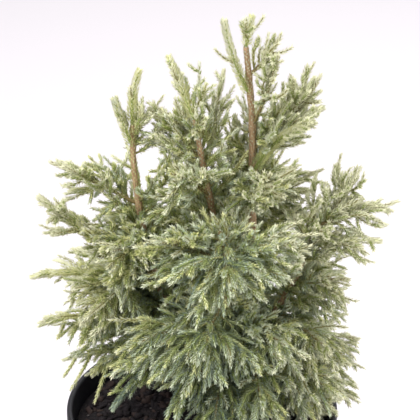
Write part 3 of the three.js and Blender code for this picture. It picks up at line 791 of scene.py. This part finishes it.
def make_grain_group():
    """Fine grain stretched along Z: a height, and a mask of the same grain."""
    group = bpy.data.node_groups.new("grain", "ShaderNodeTree")
    for label, value in {"Scale": 400.0, "Stretch": 1.0, "Detail": 4.0}.items():
        group.interface.new_socket(label, in_out="INPUT", socket_type="NodeSocketFloat").default_value = value
    for label in ("Height", "Mask"):
        group.interface.new_socket(label, in_out="OUTPUT", socket_type="NodeSocketFloat")
    given, out = group.nodes.new("NodeGroupInput"), group.nodes.new("NodeGroupOutput")
    kinds = ("TexCoord", "CombineXYZ", "VectorMath", "TexNoise", "MapRange")
    place, squeeze, scaled, grain, edge = (group.nodes.new("ShaderNode" + kind) for kind in kinds)
    scaled.operation = "MULTIPLY"
    set_inputs(squeeze, {"X": 1, "Y": 1})
    set_inputs(edge, {"From Min": 0.35, "From Max": 0.65})
    links = [
        (given, "Stretch", squeeze, "Z"),
        (place, "Object", scaled, 0),
        (squeeze, "Vector", scaled, 1),
        (scaled, "Vector", grain, "Vector"),
        (given, "Scale", grain, "Scale"),
        (given, "Detail", grain, "Detail"),
        (grain, "Fac", edge, "Value"),
        (grain, "Fac", out, "Height"),
        (edge, "Result", out, "Mask"),
    ]
    for source, output, target, put_in in links:
        group.links.new(source.outputs[output], target.inputs[put_in])
    return group


GRAIN = make_grain_group()


def add_grain(tree, scale, stretch, detail):
    node = tree.nodes.new("ShaderNodeGroup")
    node.node_tree = GRAIN
    set_inputs(node, {"Scale": scale, "Stretch": stretch, "Detail": detail})
    return node.outputs


def add_bump(tree, shader, height, strength, distance):
    bump = tree.nodes.new("ShaderNodeBump")
    set_inputs(bump, {"Strength": strength, "Distance": distance})
    tree.links.new(height, bump.inputs["Height"])
    tree.links.new(bump.outputs["Normal"], shader.inputs["Normal"])


def grained(name, color, roughness, specular, grain, stops):
    """A material whose colour follows its grain, with its shader, its nodes and the grain."""
    material = shaded(name, color, roughness, specular)
    tree = material.node_tree
    shader = tree.nodes["Principled BSDF"]
    grains = add_grain(tree, *grain)
    ramp = tree.nodes.new("ShaderNodeValToRGB")
    points = ramp.color_ramp.elements
    while len(points) < len(stops):
        points.new(0.5)
    for point, (at, stop) in zip(points, stops):
        point.position = at
        point.color = tone(*stop)
    tree.links.new(grains["Height"], ramp.inputs["Fac"])
    tree.links.new(ramp.outputs["Color"], shader.inputs["Base Color"])
    return material, shader, tree, grains


def make_bark_finish():
    """Thin reddish-brown bark in long fibres, greyer on the ridges."""
    stops = [(0.25, (106, 84, 62)), (0.5, (166, 138, 106)), (0.8, (206, 178, 146))]
    material, shader, tree, fibres = grained("stringy_bark", (140, 98, 70), 0.85, 0.2, (900, 0.12, 6), stops)
    add_bump(tree, shader, fibres["Height"], 0.7, 0.0006)
    return material


def make_pot_finish():
    """Black moulded plastic with a soft sheen, fine grain, and a thin uneven film of dust."""
    stops = [(0.3, (20, 20, 25)), (0.6, (27, 27, 32)), (0.85, (44, 43, 45))]
    material, shader, tree, dust = grained("black_pot", (26, 26, 31), 0.55, 0.22, (26, 0.7, 8), stops)
    rough = tree.nodes.new("ShaderNodeMapRange")
    set_inputs(rough, {"To Min": 0.36, "To Max": 0.56})
    tree.links.new(dust["Mask"], rough.inputs["Value"])
    tree.links.new(rough.outputs["Result"], shader.inputs["Roughness"])
    add_bump(tree, shader, add_grain(tree, 1500, 1, 2)["Height"], 0.25, 0.0002)
    return material


def make_mix_finish():
    """Dark damp potting mix."""
    stops = [(0.3, (18, 16, 18)), (0.55, (32, 28, 30)), (0.75, (52, 45, 44))]
    material, shader, tree, grains = grained("potting_mix", (44, 38, 38), 0.9, 0.2, (420, 1, 8), stops)
    add_bump(tree, shader, grains["Height"], 0.9, 0.0015)
    return material


# Pot and potting mix
INNER_WALL = [
    (FOOT_RADIUS - WALL, FLOOR),
    (FOOT_RADIUS - WALL, FOOT_BAND),
    (FOOT_RADIUS + BAND_STEP - WALL, BAND_TOP),
    (WALL_TOP - WALL, LIP - LIP_STEP),
]


def arc(centre, radius, start, end, steps):
    """Points round part of a circle in the profile's plane, by angles in degrees."""
    angles = np.radians(np.linspace(start, end, steps + 1))
    return [(centre[0] + radius * math.cos(a), centre[1] + radius * math.sin(a)) for a in angles]


def turned(profile):
    """A closed body turned about the pot's axis from a profile that starts and ends on it."""
    bm = bmesh.new()
    verts = [bm.verts.new((radius * MM, 0, height * MM)) for radius, height in profile]
    edges = [bm.edges.new(pair) for pair in zip(verts, verts[1:])]
    whole = {"angle": 2 * math.pi, "steps": ROUND_STEPS, "use_merge": True}
    bmesh.ops.spin(bm, geom=verts + edges, cent=(0, 0, 0), axis=(0, 0, 1), **whole)
    bmesh.ops.remove_doubles(bm, verts=bm.verts, dist=1e-6)
    bmesh.ops.recalc_face_normals(bm, faces=bm.faces)
    return bm


def mesh_of(name, bm, smooth=True):
    mesh = bpy.data.meshes.new(name)
    bm.to_mesh(mesh)
    bm.free()
    if smooth:
        mesh.shade_smooth()
    return mesh


def wall_rib(height):
    """A low rounded rib round the outside of the wall."""
    foot = FOOT_RADIUS + BAND_STEP
    slope = (WALL_TOP - foot) / (LIP - BAND_TOP)
    radius = foot + (height - BAND_TOP) * slope
    steps = np.linspace(-1, 1, 7)
    radii = radius + slope * RIB_WIDTH * steps / 2 + RIB_PROUD * np.cos(steps * math.pi / 2)
    return list(zip(radii, height + RIB_WIDTH * steps / 2))


def make_pot():
    """The pot: foot band with drain holes, ribbed tapering wall and a rolled rim."""
    bead = RIM_WIDTH / 2
    profile = [
        (0, 0),
        *arc((FOOT_RADIUS - FOOT_CHAMFER, FOOT_CHAMFER), FOOT_CHAMFER, -90, 0, 5),
        (FOOT_RADIUS, FOOT_BAND - 1),
        (FOOT_RADIUS + 0.3, FOOT_BAND),
        (FOOT_RADIUS + BAND_STEP - 0.3, BAND_TOP - 1),
        (FOOT_RADIUS + BAND_STEP, BAND_TOP),
        *(point for height in RIB_HEIGHTS for point in wall_rib(height)),
        (WALL_TOP - 0.1, LIP - 2),
        (WALL_TOP, LIP),
        (RIM_RADIUS - 0.6, LIP),
        *arc((RIM_RADIUS - 0.6, LIP + 0.6), 0.6, -60, 0, 3),
        *arc((RIM_RADIUS - bead, POT_HEIGHT - bead), bead, 0, 180, 12),
        *reversed(INNER_WALL),
        (0, FLOOR),
    ]
    pot = placed("black_nursery_pot", mesh_of("black_nursery_pot", turned(profile), False), make_pot_finish())
    cutter = bmesh.new()
    for number in range(DRAIN_HOLES):
        block = bmesh.ops.create_cube(cutter, size=1)["verts"]
        bmesh.ops.scale(cutter, vec=Vector((DRAIN_DEPTH, DRAIN_WIDTH, DRAIN_HEIGHT)) * MM, verts=block)
        edges = {edge for vert in block for edge in vert.link_edges}
        level = [edge for edge in edges if abs(edge.verts[0].co.x - edge.verts[1].co.x) > 1e-4]
        rounded = bmesh.ops.bevel(
            cutter, geom=level, offset=DRAIN_ROUND * MM, segments=5, affect="EDGES", profile=0.5, material=-1
        )
        block = list({v for f in rounded["faces"] for v in f.verts} | {v for v in block if v.is_valid})
        place = Vector((FOOT_RADIUS, 0, FLOOR + FOOT_CHAMFER + DRAIN_HEIGHT / 2)) * MM
        bmesh.ops.translate(cutter, vec=place, verts=block)
        turn = Matrix.Rotation(2 * math.pi * (number + 0.5) / DRAIN_HOLES, 3, "Z")
        bmesh.ops.rotate(cutter, cent=(0, 0, 0), matrix=turn, verts=block)
    tool = added("drain_cutter", mesh_of("drain_cutter", cutter))
    cut = pot.modifiers.new("drain_holes", "BOOLEAN")
    cut.operation = "DIFFERENCE"
    cut.object = tool
    finished = bpy.data.meshes.new_from_object(pot.evaluated_get(bpy.context.evaluated_depsgraph_get()))
    pot.modifiers.remove(cut)
    pot.data = finished
    finished.shade_smooth()
    finished.set_sharp_from_angle(angle=math.radians(40))
    bpy.data.objects.remove(tool)
    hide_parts("pot")


def mix_height(x, y):
    """The top of the mix, in millimetres: dished, lumpy, and level at the wall."""
    out = math.hypot(x, y)
    dish = SOIL_DISH * np.interp(out / RIM_RADIUS, (0.3, 0.72, 0.92), (0, -0.4, -1))
    lumps = 1.6 * noise.noise(Vector((x / 13, y / 13, 0))) + 0.9 * noise.noise(Vector((x / 4.5, y / 4.5, 7)))
    return GROUND + dish + lumps * min(1, (RIM_RADIUS - out) / 12)


def make_mix():
    """The potting mix: one block that fills the pot, with a lumpy top."""
    clear = GAP * 1.3
    floor_edge, band_top, wall_foot, wall_head = INNER_WALL
    edge = GROUND - SOIL_DISH
    share = (edge - wall_foot[1]) / (wall_head[1] - wall_foot[1])
    edge_radius = wall_foot[0] + share * (wall_head[0] - wall_foot[0]) - clear
    profile = [(0, FLOOR + GAP), (floor_edge[0] - clear, FLOOR + GAP)]
    profile += [(point[0] - clear, point[1]) for point in (band_top, wall_foot)]
    inwards = np.arange(edge_radius - 1.5, 1, -1.8)
    profile += [(edge_radius, edge), *((radius, GROUND) for radius in inwards), (0, GROUND)]
    bm = turned(profile)
    for vert in bm.verts:
        if vert.co.z > (edge + 0.5) * MM:
            vert.co.z = mix_height(vert.co.x / MM, vert.co.y / MM) * MM
    mix = placed("dark_potting_mix", mesh_of("dark_potting_mix", bm), make_mix_finish())
    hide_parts("potting_mix")


# Bark chips and grit on the mix: name, colour, how many, and the least and most length
CHIPS = [
    ("dark_chips", (34, 29, 31), 900, 2, 8),
    ("brown_chips", (54, 43, 40), 420, 2, 9),
    ("pale_grit", (104, 98, 96), 130, 1, 2.4),
]
CHIPS_REACH = 97  # from the pot's axis
BOX_CORNERS = np.array([(x, y, z) for z in (-0.5, 0.5) for y in (-0.5, 0.5) for x in (-0.5, 0.5)])
BOX_SIDES = [(0, 2, 3, 1), (4, 5, 7, 6), (0, 1, 5, 4), (2, 6, 7, 3), (0, 4, 6, 2), (1, 3, 7, 5)]
BOX_FACES = np.array([half for a, b, c, d in BOX_SIDES for half in ((a, b, c), (a, c, d))])


def swung(corners, first, second, angles):
    """Corners turned by an angle for each body, from one axis towards another."""
    cosine, sine = np.cos(angles)[:, None], np.sin(angles)[:, None]
    one, other = corners[..., first], corners[..., second]
    laid = corners.copy()
    laid[..., first], laid[..., second] = one * cosine - other * sine, one * sine + other * cosine
    return laid


def make_chips():
    """Loose chips lying on the mix, each an uneven little block."""
    for name, color, count, least, most in CHIPS:
        long = rng.uniform(least, most, count)
        wide, thick = long * rng.uniform(0.35, 0.7, count), long * rng.uniform(0.18, 0.4, count)
        sizes = np.stack([long, wide, thick], 1)
        corners = (BOX_CORNERS + rng.uniform(-0.16, 0.16, (count, 8, 3))) * sizes[:, None]
        turn, tilt = rng.uniform(0, 2 * math.pi, count), rng.normal(0, 0.3, count)
        laid = swung(swung(corners, 0, 2, tilt), 0, 1, turn)
        out = CHIPS_REACH * np.sqrt(rng.random(count))
        angle = rng.uniform(0, 2 * math.pi, count)
        x, y = out * np.cos(angle), out * np.sin(angle)
        z = np.array([mix_height(*place) for place in zip(x, y)]) + sizes[:, 2] * 0.25
        laid += np.stack([x, y, z], 1)[:, None]
        material = shaded(name, color, 0.85, 0.2)
        joined_pieces(name, laid, BOX_FACES, material, ())


# Bark on the limbs
BARK_STEP = 2.4
BARK_SIDES = 18
BARK_DEPTH = 0.1  # of the limb's radius
BARK_NOISES = [(1, 2.4, 38), (0.6, 5.5, 11), (0.5, 0.6, 17)]  # strength, how fine round the limb, length
JOINT_SWELL = (0.16, 5, 0.25)  # of the radius, over how far, and the most
ROOT_SWELL = (0.16, 7)  # of the radius, and over what height
TRUNK_SINK = 4  # how far the trunk's mesh stands in the mix


def bark_radius(limb, share, angle):
    """The radius of a limb with its relief, swollen joints and, at the trunk's foot, root flare."""
    far = share * limb.length
    seed = len(limb.name) * 3.7
    x, y, relief = math.cos(angle), math.sin(angle), 0
    for strength, fine, long in BARK_NOISES:
        relief += strength * noise.noise(Vector((x * fine, y * fine, far / long + seed)))
    swell, near, most = JOINT_SWELL
    joints = [joint * limb.length for joint in limb.joints if joint < 1]
    joined = sum(swell * math.exp(-(((far - joint) / near) ** 2)) for joint in joints)
    flare, high = ROOT_SWELL
    roots = flare * (1 + math.cos(5 * angle + 0.7)) * math.exp(-far / high) if limb.flare else 0
    return limb.radius(max(share, 0)) * (1 + BARK_DEPTH * relief + min(joined, most) + roots)


def make_limb(limb, material):
    """One stem or bough as a tapering bar with bark relief."""
    steps = max(6, round(limb.length / BARK_STEP))
    bm = bmesh.new()
    bmesh.ops.create_cone(bm, cap_ends=True, segments=BARK_SIDES, radius1=1, radius2=1, depth=1)
    upright = [edge for edge in bm.edges if abs(edge.verts[0].co.z - edge.verts[1].co.z) > 0.5]
    bmesh.ops.subdivide_edges(bm, edges=upright, cuts=steps - 1, use_grid_fill=True)
    across, _ = facing_of(unit(limb.line[2] - limb.line[0]))
    sink = TRUNK_SINK / limb.length if limb.flare else 0
    for vert in bm.verts:
        share = (vert.co.z + 0.5) * (1 + sink) - sink
        angle = math.atan2(vert.co.y, vert.co.x)
        along = tangent_on(limb.line, share)
        first = unit(across - along * np.dot(across, along))
        out = first * math.cos(angle) + np.cross(along, first) * math.sin(angle)
        vert.co = (point_on(limb.line, share) + out * bark_radius(limb, share, angle)) * MM
    bmesh.ops.recalc_face_normals(bm, faces=bm.faces)
    piece = placed(limb.name + "_bark", mesh_of(limb.name + "_bark", bm), material)
    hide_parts(limb.name)


def needle_tones(foot, pale, grey, owner, share):
    """The level of paleness of every needle, with painted light and shade, and whether it takes its level's
    greyer tone.
    """
    mass_tint = rng.normal(0, PALE_BY_MASS, len(MASSES))
    x, y, height = foot[:, 0], foot[:, 1], foot[:, 2] - GROUND
    # the ends of lines: painted darker high in the crown, as shade on backlit tips
    end = np.clip((share - ENDS_FROM) / (1 - ENDS_FROM), 0, 1)
    # painted light and shade: paler high in the crown, darker low down
    pale = pale + mass_tint[owner] + np.interp(height, *PAINTED_LIGHT_BY_HEIGHT)
    pale += end * np.interp(height, *PALE_ENDS) + np.interp(x, *PAINTED_LIGHT_ACROSS)
    # painted shade towards the crown's front
    pale -= np.interp(-y, *PAINTED_SHADE_IN_FRONT)
    return np.digitize(pale, LEVELS), grey + GREY_ALONG * (share - GREEN_UP_TO) + x / GREY_ACROSS > 0


def make_foliage():
    """The masses: woody stems and twigs, green shoots, and needles dealt out by colour."""
    stems, twigs, shoots = grow_foliage()
    names = NAMES.tolist()
    young_bark = shaded("young_bark", (128, 114, 74), 0.75, 0.2)
    twig_bark = shaded("green_brown_twigs", (132, 128, 80), 0.75, 0.2)
    green_bark = shaded("green_shoot_cores", (140, 152, 88), 0.7, 0.2)
    stem_bodies, stem_faces = bar_bodies(stems, *STEM_BAR)
    twig_bodies, twig_faces = bar_bodies(twigs, *TWIG_BAR)
    shoot_bodies, shoot_faces = bar_bodies(shoots, *SHOOT_BAR)
    joined_pieces("mass_stems", stem_bodies[~SLIM], stem_faces, young_bark, names)
    joined_pieces("woody_twigs", twig_bodies, twig_faces, twig_bark, names)
    joined_pieces("green_shoots", shoot_bodies, shoot_faces, green_bark, names)
    joined_pieces("plume_stems", stem_bodies[SLIM], stem_faces, green_bark, names)
    leaders = growth_on(LIMB_LINES, np.zeros(len(limbs), int), np.full(len(limbs), LEADER_PALENESS))
    bearers = (leaders, stems.rows(SLIM), stems.rows(~SLIM), twigs, shoots)
    made = [needle_bodies(growth, *how) for growth, how in zip(bearers, NEEDLES_ON.values())]
    corners, pale, grey, owner, share = (np.concatenate(part) for part in zip(*made))
    level, grey = needle_tones(corners[:, 0], pale, grey, owner, share)
    for name, (number, greyer, color) in NEEDLE_TONES.items():
        chosen = (level == number) & (greyer is None or grey == greyer)
        material = shaded("needles_" + name, color, 0.6, 0.3)
        joined_pieces("needles_" + name, corners[chosen], NEEDLE_FACES, material, names)


# Camera, floor and light
VIEW_TARGET = Vector((6.5, 0, 385.7)) * MM
VIEW_DISTANCE = 1.3
VIEW_ELEVATION = 26.5
LENS = 145


def look_from(thing, place, target):
    thing.location = place
    thing.rotation_euler = (place - target).to_track_quat("Z", "Y").to_euler()


def make_camera():
    lens = bpy.data.cameras.new("camera")
    lens.lens = LENS
    lens.sensor_width = 36
    camera = added("camera", lens)
    rise = math.radians(VIEW_ELEVATION)
    back = Vector((0, -math.cos(rise), math.sin(rise)))
    look_from(camera, VIEW_TARGET + back * VIEW_DISTANCE, VIEW_TARGET)
    bpy.context.scene.camera = camera


def make_floor():
    bm = bmesh.new()
    bmesh.ops.create_circle(bm, cap_ends=True, segments=64, radius=8)
    mesh = mesh_of("floor", bm)
    mesh.materials.append(shaded("pale_floor", (216, 213, 216), 0.9, 0.1))
    floor = added("floor", mesh)


# Soft lights: name, place in metres, size and power
LIGHTS = [
    ("key", (-0.65, -0.55, 1.2), 0.9, 15),
    ("fill", (1.5, -0.45, 1.1), 1.4, 20),
    ("back", (0.3, 1.2, 1.8), 1.6, 20),
]


def make_lights():
    for name, place, size, power in LIGHTS:
        light = bpy.data.lights.new(name, "AREA")
        light.size = size
        light.energy = power
        lamp = added(name, light)
        look_from(lamp, Vector(place), Vector((0, 0, 0.35)))
    world = bpy.data.worlds.new("studio")
    world.use_nodes = True
    sky = world.node_tree.nodes["Background"]
    set_inputs(sky, {"Color": tone(252, 249, 252), "Strength": 0.88})
    bpy.context.scene.world = world
    bpy.context.scene.view_settings.view_transform = "Standard"


make_camera()
make_floor()
make_lights()
make_pot()
make_mix()
make_chips()
bark = make_bark_finish()
for limb in limbs.values():
    make_limb(limb, bark)
make_foliage()
